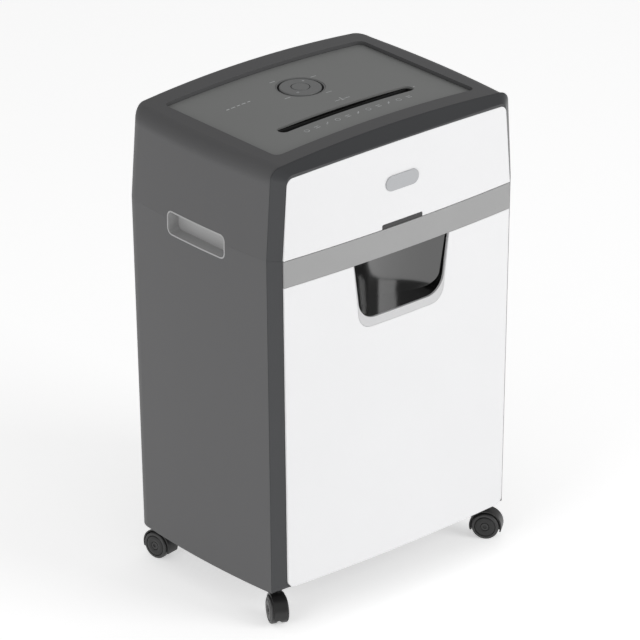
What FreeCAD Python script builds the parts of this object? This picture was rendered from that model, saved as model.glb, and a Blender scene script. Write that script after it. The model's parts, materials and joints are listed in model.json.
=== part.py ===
"""Paper shredder on castors: cutting head on a pull-out bin cabinet.

Millimetres. Origin on the floor under the middle of the body, X to the right,
Y towards the back, Z up. The parting line between head and cabinet is where
the body is widest.
"""
import FreeCAD, Part
import math
import os

import Sketcher
from FreeCAD import Placement, Rotation, Vector

doc = FreeCAD.newDocument("paper_shredder")

# ---------------------------------------------------------------- dimensions
DIMENSIONS = {
    # body: plan at the parting line, then how each edge leans away from it
    "body_width": 406, "side_bow": 7, "crease_front": 128, "front_corner": 141,
    "front_bow": 9, "back_corner": 146, "back_bow": 4,
    "body_base": 50, "parting_height": 510, "head_height": 127, "crown_rise": 11,
    "side_top_drop": 9, "head_side_lean": 8, "head_back_lean": 2, "head_front_lean": 3,
    "cabinet_side_taper": 6, "cabinet_back_taper": 7,
    "top_round": 22, "back_round": 26, "back_top_round": 4, "base_round": 5,
    "wall": 3, "top_wall": 11, "floor_wall": 4,
    # front bezel and panels
    "panel_inset": 15, "panel_top_inset": 15.5, "panel_base_inset": 8,
    "panel_crown": 5.5, "panel_round": 10,
    "panel_skin": 3, "panel_gap": 0.4, "strip_height": 36,
    "window_width": 67, "window_height": 6.5, "window_round": 2.5, "window_gap": 0.2,
    "badge_width": 54, "badge_height": 20, "badge_skin": 1.1, "badge_rise": 58,
    # top panel, slot and keys
    "top_panel_width": 327, "top_panel_front": 102, "top_panel_back": 115,
    "top_panel_round": 9, "top_panel_skin": 3, "top_panel_drop": 5, "top_groove": 0.6,
    "top_ledge": 7, "slot_place": 43, "slot_length": 220, "slot_mouth": 17,
    "throat_gap": 6, "throat_wall": 2.5, "throat_depth": 40, "dial_place": 44,
    "dial_recess": 64, "ring_outer": 54, "ring_inner": 25, "button_width": 23,
    "dial_depth": 9, "key_height": 5, "surround_wall": 2,
    # cutting works
    "cutter_rise": 50, "cutter_spacing": 36, "disc_radius": 20.5, "core_radius": 14.5,
    "disc_pitch": 8, "disc_thickness": 3.7, "cutter_length": 226, "shaft_radius": 7,
    "plate_skin": 4, "plate_gap": 1, "bearing_wall": 3, "running_clearance": 0.05, "sliding_gap": 0.3,
    "gear_width": 8, "gear_gap": 2, "motor_radius": 31, "motor_length": 104,
    "motor_shaft": 4, "motor_place": 62, "motor_drop": 4, "plate_back": 97, "post_radius": 5, "tie_radius": 4,
    # handle cups
    "cup_length": 111, "cup_depth": 18, "cup_below": 22, "cup_above": 11, "cup_wall": 2,
    "cup_round": 9,
    # bin
    "bin_side_gap": 6, "bin_wall": 2.5, "tub_round": 16, "bin_top_gap": 24, "bin_back_gap": 8,
    "scoop_half_width": 78.5, "scoop_low_half_width": 68, "scoop_height": 114,
    "scoop_depth": 42, "scoop_wall": 2.5, "scoop_round": 28, "scoop_rim": 3,
    "attic_depth": 24, "attic_inset": 12, "attic_top_gap": 14,
    "lip_side": 1, "lip_drop": 12, "lip_round": 22, "lip_gap": 0.3,
    "rail_height": 20, "rail_back_gap": 24,
    # castors
    "castor_inset": 29, "castor_span": 108, "wheel_radius": 18, "wheel_width": 9, "tyre_round": 2.2,
    "wheel_gap": 5, "castor_trail": 11, "stem_radius": 4, "hood_clearance": 1.5,
    "hood_wall": 2, "collar_radius": 9, "axle_radius": 2.5,
}
sheet = doc.addObject("Spreadsheet::Sheet", "dims")
for row, (alias, number) in enumerate(DIMENSIONS.items(), start=1):
    sheet.set(f"A{row}", alias)
    sheet.set(f"B{row}", str(number))
    sheet.setAlias(f"B{row}", alias)
doc.recompute()


def value(alias):
    """A driving dimension as a number."""
    return float(sheet.get(alias))


def bind(thing, **expressions):
    """Tie properties to sheet expressions; a double underscore stands for a dot."""
    for prop, expression in expressions.items():
        thing.setExpression(prop.replace("__", "."), expression)


def place(thing, x="0", y="0", z="0"):
    bind(thing, Placement__Base__x=x, Placement__Base__y=y, Placement__Base__z=z)
    return thing


# expressions used by more than one piece
HALF = "dims.body_width / 2"
CROWN = "(dims.parting_height + dims.head_height)"
BADGE_Z = "(dims.parting_height + dims.badge_rise)"
CUTTER_Z = "(dims.parting_height + dims.cutter_rise)"
SCOOP_LOW = "(dims.parting_height - dims.scoop_height)"
CASTOR_REACH = "(dims.body_width / 2 - dims.castor_inset)"
FRONT = "(dims.front_corner + dims.front_bow)"
BACK = "(dims.back_corner + dims.back_bow)"
WIDE = f"({HALF} + dims.side_bow + 5)"
PLATE_INNER = "(dims.cutter_length / 2 + dims.plate_gap)"
PLATE_OUTER = f"({PLATE_INNER} + dims.plate_skin)"
FRONT_AXIS = "(-dims.slot_place - dims.cutter_spacing / 2)"
REAR_AXIS = "(-dims.slot_place + dims.cutter_spacing / 2)"
PANEL_HALF = f"({HALF} - dims.panel_inset - dims.panel_gap)"
TUB_HALF = f"({HALF} - dims.cabinet_side_taper - dims.panel_inset - dims.bin_side_gap)"


# ------------------------------------------------------------------- helpers
def finish(thing, label):
    thing.Label = label
    return thing


def make_box(label, x0, x1, y0, y1, z0, z1):
    """A box between two corners, each given as an expression."""
    box = doc.addObject("Part::Box", label)
    bind(box, Length=f"({x1}) - ({x0})", Width=f"({y1}) - ({y0})", Height=f"({z1}) - ({z0})")
    return finish(place(box, x0, y0, z0), label)


AXIS_TURN = {
    "x": Rotation(Vector(0, 1, 0), 90),
    "y": Rotation(Vector(1, 0, 0), -90),
    "z": Rotation(),
}


def make_rod(label, axis, radius, length, x="0", y="0", z="0"):
    """A cylinder that starts at a point and runs along +X, +Y or +Z."""
    rod = doc.addObject("Part::Cylinder", label)
    rod.Placement = Placement(Vector(), AXIS_TURN[axis])
    bind(rod, Radius=radius, Height=length)
    return finish(place(rod, x, y, z), label)


def make_cut(label, base, tool):
    cut = doc.addObject("Part::Cut", label)
    cut.Base = base
    cut.Tool = tool
    return finish(cut, label)


def make_fuse(label, pieces):
    fuse = doc.addObject("Part::MultiFuse", label)
    fuse.Shapes = pieces
    return finish(fuse, label)


def make_common(label, pieces):
    common = doc.addObject("Part::MultiCommon", label)
    common.Shapes = pieces
    return finish(common, label)


def make_group(label, pieces):
    """Several equal pieces kept as separate solids under one name."""
    group = doc.addObject("Part::Compound", label)
    group.Links = pieces
    return finish(group, label)


def cut_all(label, base, tools):
    return make_cut(label, base, tools[0] if len(tools) == 1 else make_fuse(f"{label}_tools", tools))


def round_edges(label, base, radii, choose):
    """Fillet the edges that choose() names; it maps an edge midpoint to a radius name."""
    doc.recompute()
    rounded = doc.addObject("Part::Fillet", label)
    rounded.Base = base
    picked = []
    for index, edge in enumerate(base.Shape.Edges, start=1):
        middle = edge.valueAt((edge.FirstParameter + edge.LastParameter) / 2)
        name = choose(middle, edge)
        if name:
            picked.append((index, radii[name], radii[name]))
    rounded.Edges = picked
    return finish(rounded, label)


def plane_of(body, role):
    return next(item for item in body.Origin.OriginFeatures if item.Role == role)


def new_body(label):
    return finish(doc.addObject("PartDesign::Body", label), label)


def new_sketch(body, name, role, offset="0"):
    """A sketch on one of the body's planes, moved along that plane's normal."""
    sketch = body.newObject("Sketcher::SketchObject", name)
    sketch.AttachmentSupport = (plane_of(body, role), "")
    sketch.MapMode = "FlatFace"
    sketch.setExpression(".AttachmentOffset.Base.z", offset)
    return sketch


def number(expression):
    """The present value of an expression."""
    return float(sheet.evalExpression(expression))


def pin(sketch, geometry, point, x, y, tag):
    """Hold a sketch point at two bound distances from the sketch's axes."""
    for kind, expression in (("DistanceX", x), ("DistanceY", y)):
        datum = number(expression)
        index = sketch.addConstraint(Sketcher.Constraint(kind, -1, 1, geometry, point, datum))
        name = f"{tag}_{kind[-1].lower()}"
        sketch.renameConstraint(index, name)
        sketch.setExpression(f"Constraints.{name}", expression)


def outline(body, name, role, offset, points, arcs=None):
    """A closed sketch through corner points, anticlockwise in its own plane.

    arcs names the edges that bulge outwards: edge number to rise, as an expression.
    """
    sketch = new_sketch(body, name, role, offset)
    arcs = arcs or {}
    corners = [Vector(number(x), number(y), 0) for x, y in points]
    count = len(points)
    ends = []
    for index, start in enumerate(corners):
        end = corners[(index + 1) % count]
        if index not in arcs:
            edge = sketch.addGeometry(Part.LineSegment(start, end))
            ends.append((edge, 1, 2))
            continue
        along = (end - start).normalize()
        middle = (start + end) * 0.5 + Vector(along.y, -along.x, 0) * number(arcs[index])
        edge = sketch.addGeometry(Part.Arc(start, middle, end))
        first = 1 if sketch.getPoint(edge, 1).distanceToPoint(start) < 1e-4 else 2
        ends.append((edge, first, 3 - first))
    for index, (edge, first, last) in enumerate(ends):
        after, after_first, _ = ends[(index + 1) % count]
        pin(sketch, edge, first, *points[index], f"corner{index}")
        sketch.addConstraint(Sketcher.Constraint("Coincident", edge, last, after, after_first))
    for index, rise in arcs.items():
        (x0, y0), (x1, y1) = points[index], points[(index + 1) % count]
        chord = f"(pow(({x1}) - ({x0}); 2) + pow(({y1}) - ({y0}); 2))"
        radius = f"({chord} / 4 + pow({rise}; 2)) / (2 * ({rise}))"
        bound = sketch.addConstraint(Sketcher.Constraint("Radius", ends[index][0], number(radius)))
        sketch.renameConstraint(bound, f"arc{index}_radius")
        sketch.setExpression(f"Constraints.arc{index}_radius", radius)
    return sketch


def loft_body(label, role, sections):
    """A body lofted straight between two outlines, each (offset, points, arcs)."""
    body = new_body(label)
    sketches = []
    for index, (offset, points, arcs) in enumerate(sections):
        sketches.append(outline(body, f"{label}_section{index}", role, offset, points, arcs))
    loft = body.newObject("PartDesign::AdditiveLoft", f"{label}_loft")
    loft.Profile = sketches[0]
    loft.Sections = sketches[1:]
    loft.Ruled = True
    return body


def pad_body(label, role, offset, length, points, arcs=None, reverse=False):
    """A body padded from one outline."""
    body = new_body(label)
    sketch = outline(body, f"{label}_outline", role, offset, points, arcs)
    pad = body.newObject("PartDesign::Pad", f"{label}_pad")
    pad.Profile = sketch
    pad.Reversed = reverse
    bind(pad, Length=length)
    return body


# ------------------------------------------------------------- shared shapes
def plan(half, front, back):
    """Plan of the body: straight front, bowed sides and back."""
    points = [(f"-({half})", f"-({front})"), (half, f"-({front})"), (half, back), (f"-({half})", back)]
    return points, {1: "dims.side_bow", 2: "dims.back_bow", 3: "dims.side_bow"}


def body_form(label, low, high, low_lean, high_lean, inset):
    """Solid body between two heights; a lean is (sides, back), inset goes inwards."""
    sections = []
    for height, (side, back) in ((low, low_lean), (high, high_lean)):
        half_width = f"{HALF} - ({side}) - ({inset})"
        points, arcs = plan(half_width, "dims.crease_front", f"dims.back_corner - ({back}) - ({inset})")
        sections.append((height, points, arcs))
    return loft_body(label, "XY_Plane", sections)


def crown_form(label, drop):
    """Everything under the crowned top, lowered by drop."""
    top = f"{CROWN} - ({drop})"
    points = [(f"-{WIDE}", "0"), (WIDE, "0"), (WIDE, f"{top} - dims.crown_rise"),
              (f"-{WIDE}", f"{top} - dims.crown_rise")]
    return pad_body(label, "XZ_Plane", f"{FRONT} + 5", f"{FRONT} + {BACK} + 10", points,
                    {2: "dims.crown_rise"}, reverse=True)


def front_form(label, low, high, lean, inset):
    """Everything behind the bowed front between two heights, set back by inset."""
    sections = []
    for height, back_lean in ((low, "0"), (high, lean)):
        front = f"dims.front_corner - ({inset}) - ({back_lean})"
        points = [(f"-{WIDE}", f"-({front})"), (WIDE, f"-({front})"), (WIDE, "0"), (f"-{WIDE}", "0")]
        sections.append((height, points, {0: "dims.front_bow"}))
    return loft_body(label, "XY_Plane", sections)


def rounded_block(label, axis, corners, radius):
    """A box whose four edges along one axis are rounded."""
    block = make_box(f"{label}_block", *corners)
    doc.recompute()
    ways = {"x": Vector(1, 0, 0), "y": Vector(0, 1, 0), "z": Vector(0, 0, 1)}

    def along(middle, edge):
        run = edge.Vertexes[1].Point - edge.Vertexes[0].Point
        return "corner" if run.normalize().cross(ways[axis]).Length < 1e-6 else None

    return round_edges(label, block, {"corner": number(radius)}, along)


# ---------------------------------------------------------------- head shell
def head_form(label, inset, top_inset):
    """Crowned head: leaning sides, rounded top edges and rounded back corners."""
    sides = body_form(f"{label}_sides", "dims.parting_height", CROWN, ("0", "0"),
                      ("dims.head_side_lean", "dims.head_back_lean"), inset)
    crowned = make_common(f"{label}_crowned", [sides, crown_form(f"{label}_crown", top_inset)])
    radii = {
        "top": value("top_round") - number(inset),
        "back": value("back_round") - number(inset),
        "back_top": value("back_top_round"),
    }
    middle_height = value("parting_height") + value("head_height") / 2

    def choose(middle, edge):
        at_side = abs(middle.x) > 0.9 * value("body_width") / 2
        at_back = middle.y > 0.9 * value("back_corner")
        high = middle.z > middle_height + 0.3 * value("head_height")
        if at_side and high and not at_back:
            return "top"
        if at_side and at_back and not high and edge.Length < 1.2 * value("head_height"):
            return "back"
        return "back_top" if at_back and high else None

    return round_edges(label, crowned, radii, choose)


head_outer = head_form("head_outer", "0", "0")
head_inner = head_form("head_inner", "dims.wall", "dims.top_wall")
PANEL_SIDE = "(dims.top_panel_width / 2)"
RECESS_FLOOR = "(dims.top_panel_drop + dims.top_panel_skin)"


def top_block(label, grow):
    """Upright block over the top panel's outline, grown sideways by grow."""
    corners = (f"-{PANEL_SIDE} - ({grow})", f"{PANEL_SIDE} + ({grow})",
               f"-dims.top_panel_front - ({grow})", f"dims.top_panel_back + ({grow})",
               f"{CROWN} - 40", f"{CROWN} + 10")
    return rounded_block(label, "z", corners, f"dims.top_panel_round + ({grow})")


def handle_block(label, side, shrink, out="dims.side_bow + 10"):
    """Block of a side handle cup; shrink takes its walls off."""
    surface = f"({HALF} + dims.side_bow)"
    inner = f"({surface} - dims.cup_depth - dims.cup_wall + ({shrink}))"
    outer = f"({HALF} + {out})"
    x0, x1 = (inner, outer) if side > 0 else (f"-{outer}", f"-{inner}")
    corners = (x0, x1, f"-dims.cup_length / 2 + ({shrink})", f"dims.cup_length / 2 - ({shrink})",
               f"dims.parting_height - dims.cup_below + ({shrink})",
               f"dims.parting_height + dims.cup_above - ({shrink})")
    return rounded_block(label, "x", corners, f"dims.cup_round - ({shrink})")


# the rear wall carries the vents, the power switch and the cord gland
VENT_COUNT = 9
VENT_PITCH = 9
vents = []
for index in range(VENT_COUNT):
    low = f"dims.parting_height + 22 + {index * VENT_PITCH}"
    vents.append(make_box(f"vent_{index}", "20", "120", f"{BACK} - 14", f"{BACK} + 5", low, f"{low} + 4"))
SWITCH_X = "-70"
GLAND_X = "-125"
REAR_Z = "(dims.parting_height + 40)"
SWITCH_HOLE = (f"{SWITCH_X} - 11", f"{SWITCH_X} + 11", f"{BACK} - 14", f"{BACK} + 5",
               f"{REAR_Z} - 14", f"{REAR_Z} + 14")
switch_hole = make_box("switch_hole", *SWITCH_HOLE)
gland_hole = make_rod("gland_hole", "y", "9", "30", GLAND_X, f"{BACK} - 20", REAR_Z)

recess_skin = cut_all("recess_skin", top_block("recess_block", "dims.top_groove"),
                      [crown_form("recess_crown", RECESS_FLOOR)])
head_shell = cut_all("head_shell", head_outer, [
    head_inner, recess_skin, top_block("top_opening", "-dims.top_ledge"),
    handle_block("cup_hole_right_head", 1, "0"), handle_block("cup_hole_left_head", -1, "0"),
    switch_hole, gland_hole, *vents])


# ---------------------------------------------------------------- head bezel
BEZEL_DEPTH = f"({FRONT} - dims.crease_front)"
BEZEL_GROWTH = f"({BEZEL_DEPTH} / (dims.front_corner - dims.crease_front))"
SIDE_LOSS = f"(dims.panel_inset * {BEZEL_GROWTH})"


def bezel_loop(low, high, low_half, high_half, crown):
    points = [(f"-({low_half})", low), (low_half, low), (high_half, high), (f"-({high_half})", high)]
    return points, ({2: crown} if crown else {})


def rise_at(half_width):
    """Rise of the crown between two points at plus and minus half_width, to good precision."""
    return f"(dims.crown_rise * pow(({half_width}) / {WIDE}; 2))"


head_top_half = f"({HALF} - dims.head_side_lean * (1 - dims.side_top_drop / dims.head_height))"
crease_points = bezel_loop("dims.parting_height", f"{CROWN} - {rise_at(head_top_half)}", HALF,
                           head_top_half, rise_at(head_top_half))
inner_top_half = f"({head_top_half} - {SIDE_LOSS})"
front_points = bezel_loop("dims.parting_height",
                          f"{CROWN} - dims.panel_top_inset - {rise_at(inner_top_half)}",
                          f"{HALF} - {SIDE_LOSS}", inner_top_half, rise_at(inner_top_half))
head_bezel_loft = loft_body("head_bezel_loft", "XZ_Plane",
                            [("dims.crease_front", *crease_points), (FRONT, *front_points)])


def round_bezel(label, base, high, split):
    """Round a bezel's two outer corners above or below a height, tighter in front."""
    doc.recompute()
    rounded = doc.addObject("Part::Fillet", label)
    rounded.Base = base
    limit = value("body_width") / 2 - 40
    picked = []
    for index, edge in enumerate(base.Shape.Edges, start=1):
        first, last = edge.Vertexes[0].Point, edge.Vertexes[-1].Point
        if abs(first.y - last.y) < 5 or abs(first.x) < limit:
            continue
        if (first.z > split) != high:
            continue
        wide = value("top_round") if high else value("base_round")
        tight = value("panel_round") if high else value("base_round")
        radii = (wide, tight) if first.y > last.y else (tight, wide)
        picked.append((index, *radii))
    rounded.Edges = picked
    return finish(rounded, label)


head_bezel_outer = round_bezel("head_bezel_outer", head_bezel_loft, True,
                               value("parting_height") + value("head_height") / 2)
head_front = front_form("head_front", "dims.parting_height", CROWN, "dims.head_front_lean", "0")
head_front_inner = front_form("head_front_inner", "dims.parting_height", CROWN,
                              "dims.head_front_lean", "dims.panel_skin")
head_skin = make_cut("head_skin", head_front, head_front_inner)


def panel_block(label, low, high, low_half, high_half, grow, crown=None, rounds=None):
    """Front-to-back prism of a panel's outline, grown by grow; rounds names corner radii."""
    points = [(f"-({low_half} + {grow})", f"{low} - ({grow})"), (f"{low_half} + {grow}", f"{low} - ({grow})"),
              (f"{high_half} + {grow}", f"{high} + ({grow})"), (f"-({high_half} + {grow})", f"{high} + ({grow})")]
    block = pad_body(f"{label}_prism", "XZ_Plane", "dims.crease_front - 30", f"{FRONT} - dims.crease_front + 40",
                     points, {2: crown} if crown else {})
    if not rounds:
        return block
    middle_height = number(f"(({low}) + ({high})) / 2")

    def choose(middle, edge):
        if abs(edge.Vertexes[0].Point.y - edge.Vertexes[-1].Point.y) < 5:
            return None
        return "high" if middle.z > middle_height else "low"

    doc.recompute()
    radii = {"low": number(rounds[0]), "high": number(rounds[1])}
    kept = {name: radius for name, radius in radii.items() if radius > 0}
    return round_edges(label, block, kept, lambda m, e: choose(m, e) if choose(m, e) in kept else None)


# ------------------------------------------------------- upper front and marks
PANEL_TOP = f"({CROWN} - dims.panel_top_inset - dims.panel_crown)"
PANEL_TOP_HALF = f"({PANEL_HALF} - dims.head_side_lean * 0.9)"
UPPER = ("dims.parting_height + dims.panel_gap", PANEL_TOP, PANEL_HALF, PANEL_TOP_HALF)
WINDOW = ("-dims.window_width / 2", "dims.window_width / 2", f"-{FRONT} - 5", "-dims.crease_front - 4",
          "dims.parting_height + dims.panel_gap", "dims.parting_height + dims.window_height")

upper_block = panel_block("upper_block", *UPPER, "0", "dims.panel_crown", ("0", "dims.panel_round"))


def window_block(label, back, shrink):
    """Window outline with rounded top corners, open below the parting line."""
    corners = (f"{WINDOW[0]} + ({shrink})", f"{WINDOW[1]} - ({shrink})", WINDOW[2], back,
               "dims.parting_height - 10", f"{WINDOW[5]} - ({shrink})")
    return rounded_block(label, "y", corners, f"dims.window_round - ({shrink})")


upper_front_panel = cut_all("upper_front_panel", make_common("upper_panel_skin", [upper_block, head_skin]),
                            [window_block("window_notch", WINDOW[3], "0")])
window_form = front_form("window_form", "dims.parting_height + dims.panel_gap", CROWN,
                         "dims.head_front_lean", "0.6")
indicator_window = make_common("indicator_window", [
    window_block("window_bar", f"{WINDOW[3]} + 1", "dims.window_gap"), window_form])

pocket_block = panel_block("pocket_block", *UPPER, "dims.panel_gap", "dims.panel_crown", ("0", "dims.panel_round"))
pocket_skin = make_common("pocket_skin", [pocket_block, make_cut("pocket_band",
    front_form("pocket_front", "dims.parting_height", CROWN, "dims.head_front_lean", "-20"),
    front_form("pocket_back", "dims.parting_height", CROWN, "dims.head_front_lean", "dims.panel_skin + 0.05"))])
bezel_hollow = make_box("bezel_hollow", f"-({PANEL_TOP_HALF} - 6)", f"{PANEL_TOP_HALF} - 6",
                        "-dims.front_corner + dims.panel_skin + 3", "-dims.crease_front + 10",
                        "dims.parting_height + 14", f"{PANEL_TOP} - 4")
window_seat = make_box("window_seat", *WINDOW[:3], f"{WINDOW[3]} + 1.2", "dims.parting_height - 1", WINDOW[5])
head_bezel = cut_all("head_bezel", make_common("head_bezel_bowed", [head_bezel_outer, head_front]),
                     [pocket_skin, bezel_hollow, window_seat])

badge_form = make_cut("badge_band",
    front_form("badge_front", "dims.parting_height", CROWN, "dims.head_front_lean", "-dims.badge_skin"),
    front_form("badge_back", "dims.parting_height", CROWN, "dims.head_front_lean", "0"))
badge_block = rounded_block("badge_block", "y", (
    "-dims.badge_width / 2", "dims.badge_width / 2", f"-{FRONT} - 5", "-dims.crease_front",
    f"{BADGE_Z} - dims.badge_height / 2", f"{BADGE_Z} + dims.badge_height / 2"),
    "dims.badge_height * 0.499")
badge_plate = make_common("badge_plate", [badge_block, badge_form])

# ------------------------------------------------------------ top panel, slot
SLOT = ("-dims.slot_length / 2", "dims.slot_length / 2",
        "-dims.slot_place - dims.slot_mouth / 2", "-dims.slot_place + dims.slot_mouth / 2")
DIAL = ("0", "dims.dial_place")


def disc_at_dial(label, diameter, low, high):
    return make_rod(label, "z", f"({diameter}) / 2", f"({high}) - ({low})", *DIAL, low)


DIAL_TOP = f"({CROWN} - dims.top_panel_drop)"
DIAL_FLOOR = f"({DIAL_TOP} - dims.dial_depth)"
panel_band = make_cut("panel_band", crown_form("panel_crown", "dims.top_panel_drop"),
                      crown_form("panel_under", RECESS_FLOOR))
slot_hole = rounded_block("slot_hole", "z", (*SLOT, f"{CROWN} - 60", f"{CROWN} + 5"), "dims.slot_mouth * 0.499")
top_panel = cut_all("top_panel", make_common("top_panel_skin", [top_block("panel_block", "0"), panel_band]),
                    [slot_hole, disc_at_dial("dial_hole", "dims.dial_recess", f"{CROWN} - 30", f"{CROWN} + 5")])


def throat_form(label, grow, low, high):
    """Funnel under the slot: wide mouth above, narrow gap below."""
    sections = []
    for height, gap in ((low, "dims.throat_gap"), (high, "dims.slot_mouth - 2")):
        half_gap = f"({gap}) / 2 + ({grow})"
        half_length = f"dims.slot_length / 2 - 1 + ({grow})"
        points = [(f"-({half_length})", f"-dims.slot_place - ({half_gap})"),
                  (half_length, f"-dims.slot_place - ({half_gap})"),
                  (half_length, f"-dims.slot_place + {half_gap}"),
                  (f"-({half_length})", f"-dims.slot_place + {half_gap}")]
        sections.append((height, points, None))
    return loft_body(label, "XY_Plane", sections)


THROAT_TOP = f"({CROWN} - {RECESS_FLOOR} - {rise_at('(dims.slot_length / 2 + 6)')})"
THROAT_LOW = f"({THROAT_TOP} - dims.throat_depth)"
throat_flange = make_box("throat_flange", "-dims.slot_length / 2 - 5", "dims.slot_length / 2 + 5",
                         "-dims.slot_place - dims.slot_mouth / 2 - 6", "-dims.slot_place + dims.slot_mouth / 2 + 6",
                         f"{THROAT_TOP} - 3", THROAT_TOP)
feed_throat = cut_all("feed_throat", make_fuse("throat_solid", [
    throat_form("throat_outer", "dims.throat_wall", THROAT_LOW, THROAT_TOP), throat_flange]),
    [throat_form("throat_inner", "0", f"{THROAT_LOW} - 1", f"{THROAT_TOP} + 1")])

SURROUND_WIDTH = "(dims.dial_recess - 0.4)"
control_surround = cut_all("control_surround",
    make_common("surround_solid", [
        disc_at_dial("surround_disc", SURROUND_WIDTH, f"{DIAL_FLOOR} - dims.surround_wall", f"{CROWN} + 5"),
        crown_form("surround_crown", "dims.top_panel_drop + 0.4")]),
    [disc_at_dial("surround_bore", f"{SURROUND_WIDTH} - 2 * dims.surround_wall", DIAL_FLOOR, f"{CROWN} + 6"),
     disc_at_dial("surround_hole", "8", f"{DIAL_FLOOR} - 20", f"{CROWN}")])

KEY_TOP = f"({DIAL_TOP} + 0.5)"
KEY_FLOOR = f"({KEY_TOP} - dims.key_height)"


def soft_disc(label, diameter, low, high, radius):
    """A disc on the dial's axis whose top rim is rounded."""
    disc = disc_at_dial(f"{label}_disc", diameter, low, high)
    doc.recompute()
    top = number(high) - 0.1
    return round_edges(label, disc, {"rim": radius}, lambda middle, edge: "rim" if middle.z > top else None)


control_ring = cut_all("control_ring", soft_disc("ring_soft", "dims.ring_outer", KEY_FLOOR, KEY_TOP, 1.6),
                       [disc_at_dial("ring_bore", "dims.ring_inner", f"{KEY_FLOOR} - 1", f"{KEY_TOP} + 1")])
ring_carrier = cut_all("ring_carrier",
    disc_at_dial("carrier_disc", "dims.ring_inner + 11", f"{KEY_FLOOR} - 1.9", f"{KEY_FLOOR} - 1"),
    [disc_at_dial("carrier_bore", "dims.ring_inner", f"{KEY_FLOOR} - 3", KEY_FLOOR)])
power_button = make_fuse("power_button", [
    soft_disc("button_cap", "dims.button_width", f"{KEY_FLOOR} + 0.5", f"{KEY_TOP} + 0.4", 0.8),
    disc_at_dial("button_stem", "7", f"{DIAL_FLOOR} - 8", f"{KEY_FLOOR} + 0.5")])

BOARD_TOP = f"({DIAL_FLOOR} - dims.surround_wall - 10)"
board_pieces = [make_box("board_sheet", "-46", "46", "dims.dial_place - 34", "dims.dial_place + 34",
                         f"{BOARD_TOP} - 1.6", BOARD_TOP),
                make_box("board_chip", "28", "42", "dims.dial_place - 8", "dims.dial_place + 8",
                         BOARD_TOP, f"{BOARD_TOP} + 3"),
                make_rod("board_switch", "z", "4", "1.5", *DIAL, BOARD_TOP)]
for sign_x in (-1, 1):
    for sign_y in (-1, 1):
        board_pieces.append(make_rod("board_standoff", "z", "3", "10", f"{20 * sign_x}",
                                     f"dims.dial_place + {20 * sign_y}", BOARD_TOP))
control_board = make_fuse("control_board", board_pieces)

sensor_arms = []
for sign in (-1, 1):
    near = f"-dims.slot_place + {sign} * (dims.slot_mouth / 2 + 1.7)"
    far = f"-dims.slot_place + {sign} * (dims.slot_mouth / 2 + 5.5)"
    y0, y1 = (near, far) if sign > 0 else (far, near)
    sensor_arms.append(make_box(f"sensor_arm_{sign}", "-8", "8", y0, y1,
                                f"{THROAT_LOW} + 3", f"{THROAT_TOP} - 3"))
paper_sensor = make_group("paper_sensor", sensor_arms)

# --------------------------------------------------------------- rear details
power_switch_body = cut_all("power_switch_body",
    make_box("switch_block", f"{SWITCH_X} - 10.8", f"{SWITCH_X} + 10.8", f"{BACK} - 20", f"{BACK} - 2.5",
             f"{REAR_Z} - 13.8", f"{REAR_Z} + 13.8"),
    [make_box("switch_well", f"{SWITCH_X} - 7", f"{SWITCH_X} + 7", f"{BACK} - 13", BACK,
              f"{REAR_Z} - 11", f"{REAR_Z} + 11")])
ROCKER_AXIS_Y = f"({BACK} - 9)"
switch_rocker = make_fuse("switch_rocker", [
    rounded_block("rocker_cap", "x", (f"{SWITCH_X} - 6.5", f"{SWITCH_X} + 6.5", f"{BACK} - 9", f"{BACK} - 3.2",
                                      f"{REAR_Z} - 9", f"{REAR_Z} + 9"), "1.5"),
    make_rod("rocker_pin", "x", "2", "13", f"{SWITCH_X} - 6.5", ROCKER_AXIS_Y, REAR_Z)])
GLAND_BORE = "3.5"
cord_gland = cut_all("cord_gland", make_fuse("gland_solid", [
    make_rod("gland_neck", "y", "9", "13", GLAND_X, f"{BACK} - 16.5", REAR_Z),
    make_rod("gland_flange", "y", "13", "4", GLAND_X, f"{BACK} - 10", REAR_Z)]),
    [make_rod("gland_bore", "y", GLAND_BORE, "30", GLAND_X, f"{BACK} - 25", REAR_Z)])

# ------------------------------------------------------------------ head base
BASE_TOP = "(dims.parting_height + dims.floor_wall)"
BAY = (f"-{PLATE_INNER} + 1", f"{PLATE_INNER} - 1", "-dims.slot_place - 42", "-dims.slot_place + 42")
MOTOR_Y, MOTOR_Z = "dims.motor_place", f"({CUTTER_Z} - dims.motor_drop)"
base_slab = make_box("base_slab", f"-{WIDE}", WIDE, "-dims.crease_front", BACK, "dims.parting_height", BASE_TOP)
base_plate = make_common("base_plate", [base_slab, head_inner])
motor_cradle = cut_all("motor_cradle",
    make_box("cradle_block", f"{PLATE_INNER} - 90", f"{PLATE_INNER} - 30", f"{MOTOR_Y} - 22", f"{MOTOR_Y} + 22",
             BASE_TOP, f"{MOTOR_Z} - 18"),
    [make_rod("cradle_hollow", "x", "dims.motor_radius", "200", "-60", MOTOR_Y, MOTOR_Z)])
head_base = make_fuse("head_base", [
    cut_all("base_open", base_plate, [
        make_box("shred_opening", *BAY, "dims.parting_height - 5", f"{BASE_TOP} + 5"),
        handle_block("cup_hole_right_base", 1, "0"), handle_block("cup_hole_left_base", -1, "0")]),
    motor_cradle])

# -------------------------------------------------------------- cutting works
PLATE_FRONT, PLATE_BACK = f"({FRONT_AXIS} - 27)", "dims.plate_back"
PLATE_TOP = f"({CUTTER_Z} + 32)"
BEARING = "(dims.shaft_radius + dims.running_clearance + dims.bearing_wall)"
DRIVEN_AXES = ((FRONT_AXIS, CUTTER_Z), (REAR_AXIS, CUTTER_Z))
TIES = ((f"{PLATE_FRONT} + 8", f"{CUTTER_Z} - 34"), (f"{REAR_AXIS} + 34", f"{CUTTER_Z} + 25"),
        (f"{PLATE_BACK} - 8", f"{CUTTER_Z} - 34"))

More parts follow.
